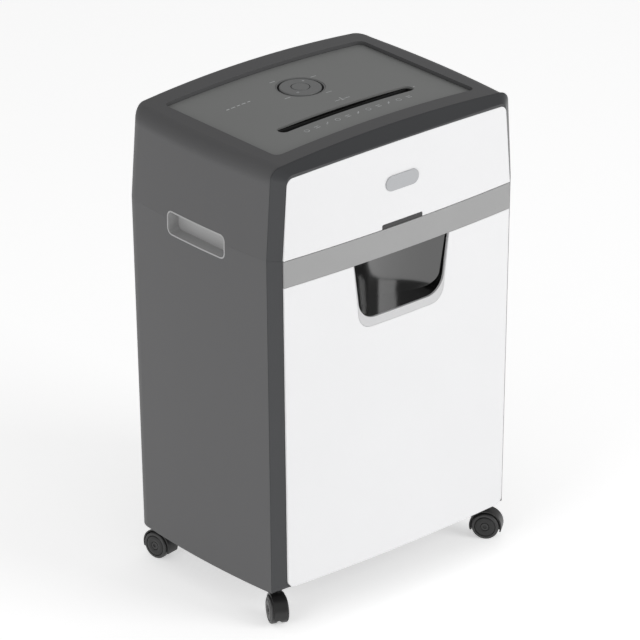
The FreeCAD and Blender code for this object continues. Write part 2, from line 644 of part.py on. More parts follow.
plates = {}
for side, start in (("left", f"-{PLATE_OUTER}"), ("right", PLATE_INNER)):
    blank = make_box(f"plate_{side}_blank", start, f"{start} + dims.plate_skin", PLATE_FRONT, PLATE_BACK,
                     BASE_TOP, PLATE_TOP)
    holes = [make_rod(f"plate_{side}_bore", "x", BEARING, "20", f"{start} - 8", y, z) for y, z in DRIVEN_AXES]
    holes.append(make_rod(f"plate_{side}_motor", "x", "dims.motor_shaft + 3", "20",
                          f"{start} - 8", MOTOR_Y, MOTOR_Z))
    plates[side] = cut_all(f"side_plate_{side}", blank, holes)

tie_rods = make_group("tie_rods", [
    make_rod(f"tie_{index}", "x", "dims.tie_radius", f"2 * {PLATE_INNER}", f"-{PLATE_INNER}", y, z)
    for index, (y, z) in enumerate(TIES)])

bushes = []
for side, start in (("left", f"-{PLATE_OUTER}"), ("right", PLATE_INNER)):
    for index, (y, z) in enumerate(DRIVEN_AXES):
        ring = make_rod(f"bush_{side}_{index}", "x", BEARING, "dims.plate_skin", start, y, z)
        hole = make_rod(f"bush_hole_{side}_{index}", "x", "dims.shaft_radius + dims.running_clearance", "20",
                        f"{start} - 8", y, z)
        bushes.append(make_cut(f"bushing_{side}_{index}", ring, hole))
cutter_bearings = make_group("cutter_bearings", bushes)

DISC_COUNT = int(value("cutter_length") // value("disc_pitch"))
NOTCHES = 9
SPIRAL_TURN = math.radians(11)


def polygon_prism(points, x, width):
    """Prism of a polygon in the YZ plane, from x along +X."""
    corners = [Vector(x, y, z) for y, z in points]
    face = Part.Face(Part.makePolygon(corners + corners[:1]))
    return face.extrude(Vector(width, 0, 0))


def polar(centre, radius, angle):
    return centre[0] + radius * math.cos(angle), centre[1] + radius * math.sin(angle)


def shaped(label, shape):
    thing = doc.addObject("Part::Feature", label)
    thing.Shape = shape
    return finish(thing, label)


def rod_shape(x, length, radius, centre):
    return Part.makeCylinder(radius, length, Vector(x, *centre), Vector(1, 0, 0))


# layers of the gear side, counted outwards from the right side plate
LAYER = value("gear_width") + value("gear_gap")
FIRST_LAYER = number(PLATE_OUTER) + value("gear_gap")


def layer_start(index):
    return FIRST_LAYER + index * LAYER


def cutter_shape(centre, first_disc, shaft_end, hand):
    """Shaft, core and notched discs set in a spiral."""
    radius, notch = value("disc_radius"), value("disc_radius") - 2.4
    half = value("cutter_length") / 2
    tail = number(PLATE_OUTER) + 5
    core_start = -half + 0.5
    pieces = [rod_shape(core_start, 2 * half - 1, value("core_radius"), centre)]
    step = 2 * math.pi / NOTCHES
    for index in range(DISC_COUNT):
        turn = hand * index * SPIRAL_TURN
        points = []
        for tooth in range(NOTCHES):
            start = turn + tooth * step
            points.append(polar(centre, notch, start))
            points.append(polar(centre, radius, start + hand * 0.12 * step if hand > 0 else start + 0.55 * step))
            points.append(polar(centre, radius, start + 0.45 * step if hand > 0 else start + 0.88 * step))
        pieces.append(polygon_prism(points, first_disc + index * value("disc_pitch"), value("disc_thickness")))
    shaft = rod_shape(-tail, tail + shaft_end, value("shaft_radius"), centre)
    return shaft.multiFuse(pieces).removeSplitter()


front_axis = (number(FRONT_AXIS), number(CUTTER_Z))
rear_axis = (number(REAR_AXIS), number(CUTTER_Z))
first_front = -value("cutter_length") / 2 + 0.6
first_rear = first_front + value("disc_pitch") / 2
front_cutter = shaped("front_cutter", cutter_shape(front_axis, first_front, layer_start(1), 1))
rear_cutter = shaped("rear_cutter", cutter_shape(rear_axis, first_rear, layer_start(2), -1))


def comb_shape(axis_y, side, first_gap):
    """Bar with one finger in each gap between discs, on one side of a cutter."""
    finger = value("disc_pitch") - value("disc_thickness") - 1
    reach = value("core_radius") + 0.7
    bar = value("disc_radius") + 1.5
    y0, y1 = sorted((axis_y + side * bar, axis_y + side * (bar + 4)))
    span = number(PLATE_INNER)
    height, thick = value("parting_height") + value("cutter_rise") - 5, 8
    comb = Part.makeBox(2 * span, y1 - y0, thick, Vector(-span, y0, height))
    f0, f1 = sorted((axis_y + side * reach, axis_y + side * (bar + 2)))
    fingers = []
    for index in range(DISC_COUNT - 1):
        x = first_gap + index * value("disc_pitch")
        fingers.append(Part.makeBox(finger, f1 - f0, thick, Vector(x, f0, height)))
    return comb.multiFuse(fingers).removeSplitter()


gap_start = value("disc_thickness") + 0.5
stripper_combs = shaped("stripper_combs", Part.makeCompound([
    comb_shape(front_axis[0], -1, first_front + gap_start),
    comb_shape(rear_axis[0], 1, first_rear + gap_start)]))

# ---------------------------------------------------------------- gear train
SYNC_TEETH, SYNC_MODULE = 18, value("cutter_spacing") / 18
FINAL_TEETH, SECOND_PINION, FINAL_MODULE = 36, 12, 1.5
SECOND_WHEEL, FIRST_PINION, MIDDLE_MODULE = 44, 12, 1.25
FIRST_WHEEL, MOTOR_PINION, FAST_MODULE = 50, 10, 1.0


def tooth_outline(centre, teeth, module, phase):
    """Straight-flanked teeth with backlash; phase is the angle of one tooth's middle."""
    pitch_radius = teeth * module / 2
    root, tip = pitch_radius - 1.2 * module, pitch_radius + 0.8 * module
    step = 2 * math.pi / teeth
    points = []
    for tooth in range(teeth):
        middle = phase + tooth * step
        points.append(polar(centre, root, middle - 0.29 * step))
        points.append(polar(centre, tip, middle - 0.10 * step))
        points.append(polar(centre, tip, middle + 0.10 * step))
        points.append(polar(centre, root, middle + 0.29 * step))
    return points


def meshed_phase(centre, teeth, phase, other_centre, other_teeth):
    """Phase that puts the other gear's teeth in this gear's gaps."""
    line = math.atan2(other_centre[1] - centre[1], other_centre[0] - centre[0])
    step = 2 * math.pi / teeth
    share = ((phase - line) % step) / step
    return line + math.pi - (share + 0.5) * 2 * math.pi / other_teeth


def gear_shape(centre, teeth, module, phase, layer):
    return polygon_prism(tooth_outline(centre, teeth, module, phase), layer_start(layer), value("gear_width"))


def meeting_point(first, first_distance, second, second_distance):
    """Upper point at two given distances from two axes."""
    dy, dz = second[0] - first[0], second[1] - first[1]
    span = math.hypot(dy, dz)
    along = (first_distance ** 2 - second_distance ** 2 + span ** 2) / (2 * span)
    up = math.sqrt(first_distance ** 2 - along ** 2)
    return (first[0] + (along * dy - up * dz) / span, first[1] + (along * dz + up * dy) / span)


motor_axis = (number(MOTOR_Y), number(MOTOR_Z))
second_axis = (rear_axis[0] + (FINAL_TEETH + SECOND_PINION) * FINAL_MODULE / 2, rear_axis[1])
first_axis = meeting_point(second_axis, (SECOND_WHEEL + FIRST_PINION) * MIDDLE_MODULE / 2,
                           motor_axis, (FIRST_WHEEL + MOTOR_PINION) * FAST_MODULE / 2)
sync_phase = 0.0
rear_sync_phase = meshed_phase(front_axis, SYNC_TEETH, sync_phase, rear_axis, SYNC_TEETH)
final_phase = 0.0
second_pinion_phase = meshed_phase(rear_axis, FINAL_TEETH, final_phase, second_axis, SECOND_PINION)
second_wheel_phase = 0.0
first_pinion_phase = meshed_phase(second_axis, SECOND_WHEEL, second_wheel_phase, first_axis, FIRST_PINION)
first_wheel_phase = 0.0
motor_phase = meshed_phase(first_axis, FIRST_WHEEL, first_wheel_phase, motor_axis, MOTOR_PINION)

SHAFT_HOLE = value("shaft_radius")
POST_HOLE = value("post_radius") + value("running_clearance")
front_cutter_gear = shaped("front_cutter_gear", gear_shape(front_axis, SYNC_TEETH, SYNC_MODULE, sync_phase, 0).cut(
    rod_shape(layer_start(0) - 5, 30, SHAFT_HOLE, front_axis)))
rear_gears = gear_shape(rear_axis, SYNC_TEETH, SYNC_MODULE, rear_sync_phase, 0).multiFuse([
    gear_shape(rear_axis, FINAL_TEETH, FINAL_MODULE, final_phase, 1),
    rod_shape(layer_start(0) + 1, LAYER, 12, rear_axis)])
rear_cutter_gear = shaped("rear_cutter_gear", rear_gears.cut(
    rod_shape(layer_start(0) - 5, 40, SHAFT_HOLE, rear_axis)).removeSplitter())
second_gears = gear_shape(second_axis, SECOND_PINION, FINAL_MODULE, second_pinion_phase, 1).multiFuse([
    gear_shape(second_axis, SECOND_WHEEL, MIDDLE_MODULE, second_wheel_phase, 2),
    rod_shape(layer_start(1) + 1, LAYER, 7, second_axis)])
compound_gear_2 = shaped("compound_gear_2", second_gears.cut(
    rod_shape(layer_start(1) - 5, 40, POST_HOLE, second_axis)).removeSplitter())
first_post = value("post_radius") - 1.5
first_gears = gear_shape(first_axis, FIRST_PINION, MIDDLE_MODULE, first_pinion_phase, 2).multiFuse([
    gear_shape(first_axis, FIRST_WHEEL, FAST_MODULE, first_wheel_phase, 3),
    rod_shape(layer_start(2) + 1, LAYER, 5.6, first_axis)])
compound_gear_1 = shaped("compound_gear_1", first_gears.cut(
    rod_shape(layer_start(2) - 5, 40, first_post + value("running_clearance"), first_axis)).removeSplitter())

post_base = number(PLATE_OUTER)
second_post = rod_shape(post_base, layer_start(3) - post_base, value("post_radius"), second_axis)
second_collar = rod_shape(post_base, layer_start(1) - post_base - 0.3, value("post_radius") + 2, second_axis)
first_pin = rod_shape(post_base, layer_start(4) - post_base, first_post, first_axis)
first_collar = rod_shape(post_base, layer_start(2) - post_base - 0.3, first_post + 2, first_axis)
gear_posts = shaped("gear_posts", Part.makeCompound([
    second_post.fuse(second_collar).removeSplitter(), first_pin.fuse(first_collar).removeSplitter()]))

# --------------------------------------------------------------------- motor
MOTOR_START = f"({PLATE_INNER} - dims.motor_length)"
motor_can = cut_all("motor_can", make_rod("can_outside", "x", "dims.motor_radius", "dims.motor_length",
                                          MOTOR_START, MOTOR_Y, MOTOR_Z), [
    make_rod("can_inside", "x", "dims.motor_radius - 3", "dims.motor_length - 8",
             f"{MOTOR_START} + 4", MOTOR_Y, MOTOR_Z),
    make_rod("can_bore", "x", "dims.motor_shaft + dims.running_clearance", "dims.motor_length + 20",
             f"{MOTOR_START} - 10", MOTOR_Y, MOTOR_Z)])
motor_start = number(MOTOR_START)
rotor_core = rod_shape(motor_start + 14, value("motor_length") - 28, value("motor_radius") - 6, motor_axis)
rotor_shaft = rod_shape(motor_start - 16, layer_start(4) - motor_start + 16, value("motor_shaft"), motor_axis)
motor_rotor = shaped("motor_rotor", rotor_core.multiFuse([
    rotor_shaft, gear_shape(motor_axis, MOTOR_PINION, FAST_MODULE, motor_phase, 3)]).removeSplitter())
FAN_BLADES = 7
fan_start = motor_start - 14
fan_pieces = []
for blade in range(FAN_BLADES):
    plate = Part.makeBox(8, 16, 1.6, Vector(0, 8, -0.8))
    plate.rotate(Vector(4, 8, 0), Vector(0, 1, 0), 35)
    plate.rotate(Vector(), Vector(1, 0, 0), 360 * blade / FAN_BLADES)
    plate.translate(Vector(fan_start, *motor_axis))
    fan_pieces.append(plate)
fan_hub = rod_shape(fan_start, 10, 9.5, motor_axis)
motor_fan = shaped("motor_fan", fan_hub.multiFuse(fan_pieces).cut(
    rod_shape(fan_start - 5, 30, value("motor_shaft"), motor_axis)).removeSplitter())

# ------------------------------------------------------------------- cabinet
LOW_LEAN = ("dims.cabinet_side_taper", "dims.cabinet_back_taper")
LOW_HALF = f"({HALF} - dims.cabinet_side_taper)"


def cabinet_form(label, inset, low):
    """Cabinet body: tapers towards the floor, with rounded back corners."""
    sides = body_form(label + "_sides", "dims.parting_height", low, ("0", "0"), LOW_LEAN, inset)
    tall = 0.6 * (value("parting_height") - value("body_base"))
    back = value("back_round") - number(inset)

    def choose(middle, edge):
        return "back" if middle.y > 0.8 * value("back_corner") and edge.Length > tall and abs(
            middle.x) > 0.8 * value("body_width") / 2 else None

    return round_edges(label, sides, {"back": back}, choose)


cabinet_outer = cabinet_form("cabinet_outer", "0", "dims.body_base")
cabinet_inner = cabinet_form("cabinet_inner", "dims.wall", "dims.body_base + dims.floor_wall")
# side, end and the angle that each castor's trail is turned to at rest
CASTOR_PLACES = {
    "front_left": (-1, -1, 154), "front_right": (1, -1, -142),
    "back_left": (-1, 1, 10), "back_right": (1, 1, -35),
}


def castor_spot(name):
    """Swivel axis of a castor as two expressions."""
    side, end, _ = CASTOR_PLACES[name]
    return f"{side} * {CASTOR_REACH}", f"{end} * dims.castor_span"


SOCKET_RADIUS = "(dims.stem_radius + 5)"
socket_holes = [make_rod(f"socket_hole_{name}", "z", SOCKET_RADIUS, "20", *castor_spot(name), "dims.body_base - 5")
                for name in CASTOR_PLACES]
cabinet_shell = cut_all("cabinet_shell", cabinet_outer, [
    cabinet_inner, handle_block("cup_hole_right_cabinet", 1, "0"), handle_block("cup_hole_left_cabinet", -1, "0"),
    *socket_holes])
SOCKET_HEIGHT = "(dims.floor_wall + dims.rail_height - 4)"
sockets = []
for name in CASTOR_PLACES:
    boss = make_rod(f"socket_boss_{name}", "z", SOCKET_RADIUS, SOCKET_HEIGHT, *castor_spot(name), "dims.body_base")
    bore = make_rod(f"socket_bore_{name}", "z", "dims.stem_radius + dims.running_clearance", "40",
                    *castor_spot(name), "dims.body_base - 5")
    sockets.append(make_cut(f"socket_{name}", boss, bore))
castor_sockets = make_group("castor_sockets", sockets)

cabinet_crease = bezel_loop("dims.body_base", "dims.parting_height", LOW_HALF, HALF, None)
cabinet_front_loop = bezel_loop(f"dims.body_base + dims.panel_base_inset * {BEZEL_GROWTH}", "dims.parting_height",
                                f"{LOW_HALF} - {SIDE_LOSS}", f"{HALF} - {SIDE_LOSS}", None)
cabinet_bezel_outer = round_bezel("cabinet_bezel_outer", loft_body("cabinet_bezel_loft", "XZ_Plane", [
    ("dims.crease_front", *cabinet_crease), (FRONT, *cabinet_front_loop)]), False,
    (value("body_base") + value("parting_height")) / 2)
cabinet_front = front_form("cabinet_front", "dims.body_base", "dims.parting_height", "0", "0")
DOOR_LOW = "dims.body_base + dims.panel_base_inset + dims.panel_gap"
DOOR_LOW_HALF = f"({LOW_HALF} - dims.panel_inset - dims.panel_gap)"
DOOR = (DOOR_LOW, "dims.parting_height - dims.panel_gap", DOOR_LOW_HALF, PANEL_HALF)
door_opening = panel_block("door_opening", DOOR_LOW, "dims.parting_height + 10", DOOR_LOW_HALF, PANEL_HALF,
                           "dims.panel_gap", None, ("dims.panel_round", "0"))
cabinet_bezel = cut_all("cabinet_bezel", make_common("cabinet_bezel_bowed", [cabinet_bezel_outer, cabinet_front]),
                        [door_opening])

# ------------------------------------------------------------- handle cups
def handle_cup(label, side):
    """Moulded cup through the side wall, flush with the body across the parting line."""
    shell = cut_all(f"{label}_shell", handle_block(f"{label}_outer", side, "0.15"),
                    [handle_block(f"{label}_inner", side, "dims.cup_wall")])
    body = make_fuse(f"{label}_body", [
        body_form(f"{label}_low", "dims.body_base", "dims.parting_height", LOW_LEAN, ("0", "0"), "0"),
        body_form(f"{label}_high", "dims.parting_height", CROWN, ("0", "0"),
                  ("dims.head_side_lean", "dims.head_back_lean"), "0")])
    return make_common(label, [shell, body])


handle_cup_left = handle_cup("handle_cup_left", -1)
handle_cup_right = handle_cup("handle_cup_right", 1)

# ----------------------------------------------------------------- bin front
STRIP_LOW = "(dims.parting_height - dims.strip_height)"
front_inner = front_form("front_inner", "dims.body_base", "dims.parting_height", "0", "dims.panel_skin")
front_skin = make_cut("front_skin", cabinet_front, front_inner)
door_block = panel_block("door_block", *DOOR, "0", None, ("dims.panel_round", "0"))
door_core_block = panel_block("door_core_block", *DOOR, "-0.2", None, ("dims.panel_round - 0.2", "0"))
door_skin = make_common("door_skin", [door_block, front_skin])
strip_zone = make_box("strip_zone", f"-{WIDE}", WIDE, f"-{FRONT} - 10", "0", f"{STRIP_LOW} + dims.panel_gap / 2",
                      "dims.parting_height + 20")
door_zone = make_box("door_zone", f"-{WIDE}", WIDE, f"-{FRONT} - 10", "0", "0", f"{STRIP_LOW} - dims.panel_gap / 2")


def scoop_block(label, side, drop, radius, top=STRIP_LOW):
    """Front-to-back prism of the scoop's mouth, widened by side and deepened by drop."""
    return panel_block(label, f"{SCOOP_LOW} - ({drop})", top, f"dims.scoop_low_half_width + ({side})",
                       f"dims.scoop_half_width + ({side})", "0", None, (radius, "0"))


bin_strip = make_common("bin_strip", [door_skin, strip_zone])
bin_front_panel = cut_all("bin_front_panel", make_common("door_lower_skin", [door_skin, door_zone]), [
    scoop_block("door_window", "dims.lip_side", "dims.lip_drop", "dims.lip_round")])
lip_outer = scoop_block("lip_outer", "dims.lip_side - dims.lip_gap", "dims.lip_drop - dims.lip_gap",
                        "dims.lip_round - dims.lip_gap")
scoop_lip = cut_all("scoop_lip", make_common("lip_skin", [lip_outer, front_skin, door_zone]),
                    [scoop_block("lip_inner", "0", "0", "dims.scoop_round")])

SCOOP_BACK = f"({FRONT} - dims.scoop_depth)"


def scoop_cup(label, grow):
    """Bowl behind the mouth that carries on upwards behind the strip; grow adds its wall."""
    sections = []
    for height, half in ((f"{SCOOP_LOW} - ({grow})", "dims.scoop_low_half_width"),
                         (f"dims.parting_height - dims.attic_top_gap + ({grow})", "dims.scoop_half_width")):
        edge = f"({half} + 2 * dims.scoop_rim + ({grow}))"
        rim = f"-({FRONT} - dims.scoop_rim)"
        points = [(f"-{edge}", f"-({FRONT} + 2)"), (edge, f"-({FRONT} + 2)"), (edge, rim), (f"-{edge}", rim)]
        sections.append((height, points, {2: f"dims.scoop_depth - dims.scoop_rim + ({grow})"}))
    bowl = loft_body(f"{label}_bowl", "XY_Plane", sections)
    mouth = scoop_block(f"{label}_mouth", grow, grow, f"dims.scoop_round + ({grow})", f"{STRIP_LOW} + ({grow})")
    attic_half = f"(dims.scoop_half_width - dims.attic_inset + ({grow}))"
    attic = make_box(f"{label}_attic", f"-{attic_half}", attic_half,
                     f"-{SCOOP_BACK} - dims.attic_depth - ({grow})", f"-{SCOOP_BACK} + ({grow}) + 5",
                     f"{STRIP_LOW} - 20", f"dims.parting_height - dims.attic_top_gap + ({grow})")
    return make_common(label, [bowl, make_fuse(f"{label}_space", [mouth, attic])])


scoop_inner = scoop_cup("scoop_inner", "0")
scoop_outer = scoop_cup("scoop_outer", "dims.scoop_wall")
scoop_shell = cut_all("scoop_shell", make_common("scoop_solid", [scoop_outer, front_inner]), [scoop_inner])

FRAME_BACK = "(dims.crease_front - 6)"
frame_core = make_common("frame_core", [door_core_block, front_inner, make_box(
    "frame_depth", f"-{WIDE}", WIDE, f"-{FRONT}", f"-{FRAME_BACK}", "0", "dims.parting_height + 20")])
TUB_BASE = "(dims.body_base + dims.floor_wall + dims.rail_height)"
TUB_TOP = "(dims.parting_height - dims.bin_top_gap)"
frame_hollow = make_box("frame_hollow", f"-{TUB_HALF} + 14", f"{TUB_HALF} - 14", f"-{FRONT} + 16",
                        f"-{FRAME_BACK} + 5", f"{TUB_BASE} + 14", f"{SCOOP_LOW} - 14")
bin_front_frame = cut_all("bin_front_frame", frame_core, [frame_hollow, scoop_outer])

TUB_BACK = "(dims.back_corner - dims.cabinet_back_taper - dims.wall - dims.bin_back_gap)"
TUB_BOX = (f"-{TUB_HALF}", TUB_HALF, f"-{FRAME_BACK}", TUB_BACK, TUB_BASE, TUB_TOP)
tub_solid = rounded_block("tub_solid", "z", TUB_BOX, "dims.tub_round")
tub_hollow = rounded_block("tub_hollow", "z", (
    f"-{TUB_HALF} + dims.bin_wall", f"{TUB_HALF} - dims.bin_wall", f"-{FRAME_BACK} + dims.bin_wall",
    f"{TUB_BACK} - dims.bin_wall", f"{TUB_BASE} + dims.bin_wall", f"{TUB_TOP} + 5"), "dims.tub_round - dims.bin_wall")
bin_tub = cut_all("bin_tub", tub_solid, [tub_hollow, scoop_outer])
RAIL_OUT = f"({LOW_HALF} - dims.wall)"
rails = []
for side in (-1, 1):
    x0, x1 = (f"{TUB_HALF} - 14", RAIL_OUT) if side > 0 else (f"-{RAIL_OUT}", f"-{TUB_HALF} + 14")
    runner = make_box(f"rail_{side}", x0, x1, f"-{FRAME_BACK} + 4", f"{TUB_BACK} - dims.rail_back_gap",
                      "dims.body_base + dims.floor_wall", f"{TUB_BASE} - dims.sliding_gap")
    wells = []
    for name, (castor_side, _, _) in CASTOR_PLACES.items():
        if castor_side == side:
            wells.append(make_rod(f"rail_well_{name}", "z", f"{SOCKET_RADIUS} + 0.2", "60",
                                  *castor_spot(name), "dims.body_base"))
    rails.append(cut_all(f"rail_bored_{side}", runner, wells))
bin_rails = make_group("bin_rails", rails)

# ------------------------------------------------------------------- screws
screws = []
for x, y in ((-1, -1), (1, -1), (-1, 1), (1, 1)):
    screws.append(make_rod("housing_screw", "z", "3.5", "3",
                           f"{x} * ({PLATE_OUTER} + 40)", f"{y} * 88 - 6", BASE_TOP))
housing_screws = make_group("housing_screws", screws)

# ------------------------------------------------------------------- castors
HOOD_RADIUS = "(dims.wheel_radius + dims.hood_clearance)"
HOOD_OUT = f"({HOOD_RADIUS} + dims.hood_wall)"
WHEEL_OUT = "(dims.wheel_gap / 2 + dims.wheel_width)"
WEB_HALF = "(dims.wheel_gap / 2 - 0.6)"
AXLE_Z = "dims.wheel_radius"


def axle_rod(label, radius, length, start):
    """A rod along a castor's axle, from start along +X."""
    return make_rod(label, "x", radius, length, start, "dims.castor_trail", AXLE_Z)


def wheel_piece(label, side):
    """Wheel with rounded rims, a dished outer face and a running bore."""
    start = "dims.wheel_gap / 2" if side > 0 else f"-{WHEEL_OUT}"
    disc = axle_rod(f"{label}_disc", "dims.wheel_radius", "dims.wheel_width", start)
    radius = value("wheel_radius")
    doc.recompute()
    rounded = round_edges(f"{label}_tyre", disc, {"rim": value("tyre_round")},
                          lambda middle, edge: "rim" if edge.Length > 6 * radius else None)
    dish_start = f"{WHEEL_OUT} - 1.5" if side > 0 else f"-{WHEEL_OUT} - 1.5"
    dish = make_cut(f"{label}_dish", axle_rod(f"{label}_dish_outer", "dims.wheel_radius - 4", "3", dish_start),
                    axle_rod(f"{label}_dish_inner", "5", "3", dish_start))
    bore = axle_rod(f"{label}_bore", "dims.axle_radius + dims.running_clearance", "60", "-30")
    return cut_all(label, rounded, [dish, bore])


def wheel_bays(label):
    """The two spaces under a hood that its wheels turn in."""
    return [axle_rod(f"{label}_left", HOOD_RADIUS, "40", f"-40 - {WEB_HALF}"),
            axle_rod(f"{label}_right", HOOD_RADIUS, "40", WEB_HALF)]


def hood_piece(label):
    """Hood over both wheels with its central web, neck and stem."""
    drum = axle_rod(f"{label}_drum", HOOD_OUT, f"2 * {WHEEL_OUT} - 5", f"-{WHEEL_OUT} + 2.5")
    skirt = make_box(f"{label}_skirt", "-40", "40", "-60", "60", "-30", "dims.wheel_radius * 0.62")
    cover = cut_all(f"{label}_cover", drum, [*wheel_bays(f"{label}_open"), skirt])
    web = axle_rod(f"{label}_web", "8", f"2 * {WEB_HALF}", f"-{WEB_HALF}")
    neck = make_rod(f"{label}_neck", "z", "dims.collar_radius", f"dims.body_base - 0.4 - ({AXLE_Z} + 14)",
                    "0", "0", f"{AXLE_Z} + 14")
    collar = cut_all(f"{label}_collar", neck, wheel_bays(f"{label}_clear"))
    stem = make_rod(f"{label}_stem", "z", "dims.stem_radius", f"{SOCKET_HEIGHT} + 7", "0", "0", "dims.body_base - 8")
    return cut_all(label, make_fuse(f"{label}_solid", [cover, web, collar, stem]),
                   [axle_rod(f"{label}_axle_hole", "dims.axle_radius", "60", "-30")])


castor_pieces = []
for name, (side, end, turn) in CASTOR_PLACES.items():
    built = [
        make_group(f"castor_{name}_hood", [
            hood_piece(f"castor_{name}_cover"),
            axle_rod(f"castor_{name}_axle", "dims.axle_radius", f"2 * {WHEEL_OUT} - 1.5", f"-{WHEEL_OUT} + 0.75")]),
        wheel_piece(f"castor_{name}_wheel_left", -1),
        wheel_piece(f"castor_{name}_wheel_right", 1),
    ]
    x, y = castor_spot(name)
    for piece in built:
        piece.Placement = Placement(Vector(), Rotation(Vector(0, 0, 1), turn))
        place(piece, x, y)
        castor_pieces.append(piece)

# -------------------------------------------------------------------- output
NODES = [
    head_shell, head_bezel, top_panel, upper_front_panel, indicator_window, badge_plate, control_surround,
    feed_throat, head_base, plates["left"], plates["right"], tie_rods, cutter_bearings, stripper_combs,
    motor_can, gear_posts, control_board, paper_sensor, cord_gland, power_switch_body, cabinet_shell,
    cabinet_bezel, bin_rails, housing_screws, castor_sockets, handle_cup_left, handle_cup_right,
    control_ring, ring_carrier, power_button, switch_rocker, front_cutter, rear_cutter, front_cutter_gear,
    rear_cutter_gear, compound_gear_1, compound_gear_2, motor_rotor, motor_fan, bin_tub, bin_front_frame,
    bin_front_panel, bin_strip, scoop_shell, scoop_lip, *castor_pieces,
]

doc.recompute()
for thing in doc.Objects:
    if "Invalid" in thing.State or "Error" in thing.State:
        raise RuntimeError(f"{thing.Label} did not build: {thing.State}")
for node in NODES:
    if node.Shape.isNull() or not node.Shape.isValid() or node.Shape.Volume <= 0:
        raise RuntimeError(f"{node.Label} has no valid solid")
os.makedirs("parts", exist_ok=True)
for node in NODES:
    node.Shape.exportStep(f"parts/{node.Label}.step")
print(len(NODES), "nodes written")
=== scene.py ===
"""Looks of the paper shredder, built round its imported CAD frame. Metres."""
import json
import math

import bmesh
import bpy
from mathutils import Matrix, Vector
from mathutils.bvhtree import BVHTree


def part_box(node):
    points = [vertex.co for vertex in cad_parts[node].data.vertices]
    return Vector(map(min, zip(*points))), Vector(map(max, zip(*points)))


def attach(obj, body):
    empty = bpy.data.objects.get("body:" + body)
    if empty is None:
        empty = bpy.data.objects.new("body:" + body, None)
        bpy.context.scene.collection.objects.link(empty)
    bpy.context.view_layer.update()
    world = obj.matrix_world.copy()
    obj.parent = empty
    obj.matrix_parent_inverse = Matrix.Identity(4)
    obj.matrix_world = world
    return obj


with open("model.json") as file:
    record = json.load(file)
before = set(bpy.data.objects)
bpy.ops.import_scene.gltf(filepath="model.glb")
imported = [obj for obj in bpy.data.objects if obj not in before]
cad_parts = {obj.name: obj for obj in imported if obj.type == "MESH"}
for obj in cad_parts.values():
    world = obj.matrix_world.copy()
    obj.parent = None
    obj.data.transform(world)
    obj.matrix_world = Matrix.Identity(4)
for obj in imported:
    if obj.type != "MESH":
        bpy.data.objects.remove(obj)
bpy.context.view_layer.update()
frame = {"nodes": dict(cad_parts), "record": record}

scene = bpy.context.scene
nodes = frame["nodes"]
MM = 0.001


# ------------------------------------------------------------------ materials
def linear(level):
    """Linear value of an sRGB level from 0 to 255."""
    share = level / 255
    return share / 12.92 if share <= 0.04045 else ((share + 0.055) / 1.055) ** 2.4


def colour(red, green, blue):
    """Shader colour of three sRGB levels from 0 to 255."""
    return (linear(red), linear(green), linear(blue), 1.0)


def add_node(tree, kind, **values):
    """A shader node with its inputs and settings filled in."""
    node = tree.nodes.new(kind)
    for name, value in values.items():
        if name in node.inputs:
            node.inputs[name].default_value = value
        else:
            setattr(node, name, value)
    return node


COAT_ROUGHNESS = 0.12
SPECK_SHARE = 0.35
MOTTLE_START = 0.35


